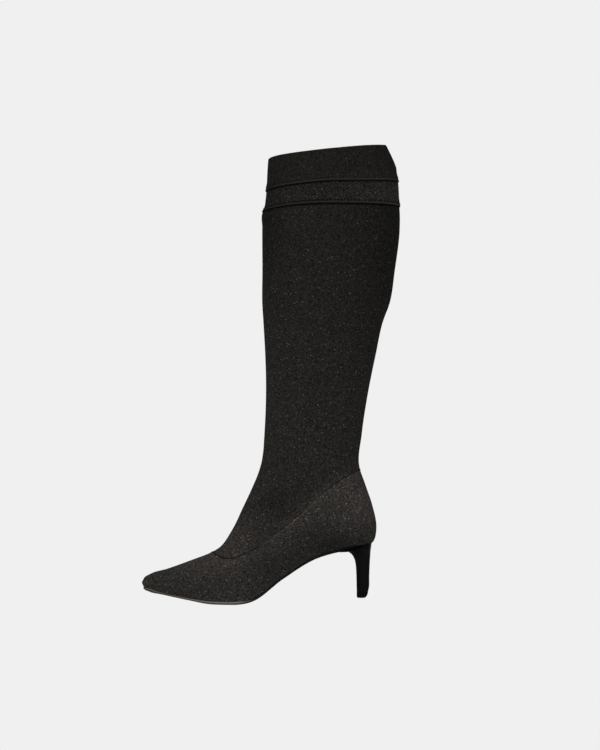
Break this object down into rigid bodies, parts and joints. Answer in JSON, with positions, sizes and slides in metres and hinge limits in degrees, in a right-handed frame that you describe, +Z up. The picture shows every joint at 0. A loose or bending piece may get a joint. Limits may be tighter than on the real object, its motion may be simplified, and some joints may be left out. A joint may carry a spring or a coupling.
{
  "type": "knee-high heeled boot",
  "caption": "Knee-high sock-knit boot for the left foot with a pointed toe, slanting foot seam, lapped top band and ribbed cuff, thin sole and slim heel.",
  "frame": {"origin": "on the floor under the middle of the boot's bounding box", "axes": "+Z up, +X from toe to heel, so the toe points to -X; +Y to the inner side of the foot, so the outer side is -Y"},
  "size_m": [0.2666, 0.1018, 0.4595],
  "materials": {
    "sole_taupe": "smooth taupe edge, satin",
    "heel_black": "satin black moulding",
    "tip_rubber": "matt black rubber",
    "sock_lining": "dark woven lining",
    "foot_knit": "black twill knit with fine metallic yarn",
    "shaft_knit": "black stretch knit with fine metallic yarn",
    "band_knit": "black twill knit, rolled hem",
    "cuff_rib": "black fine rib knit, rolled hem"
  },
  "bodies": {
    "root": {"outsole": "sole_taupe", "heel": "heel_black", "heel_tip": "tip_rubber", "insole": "sock_lining", "upper": "foot_knit", "shaft": "shaft_knit", "shaft_band": "band_knit", "top_cuff": "cuff_rib"}
  },
  "joints": []
}
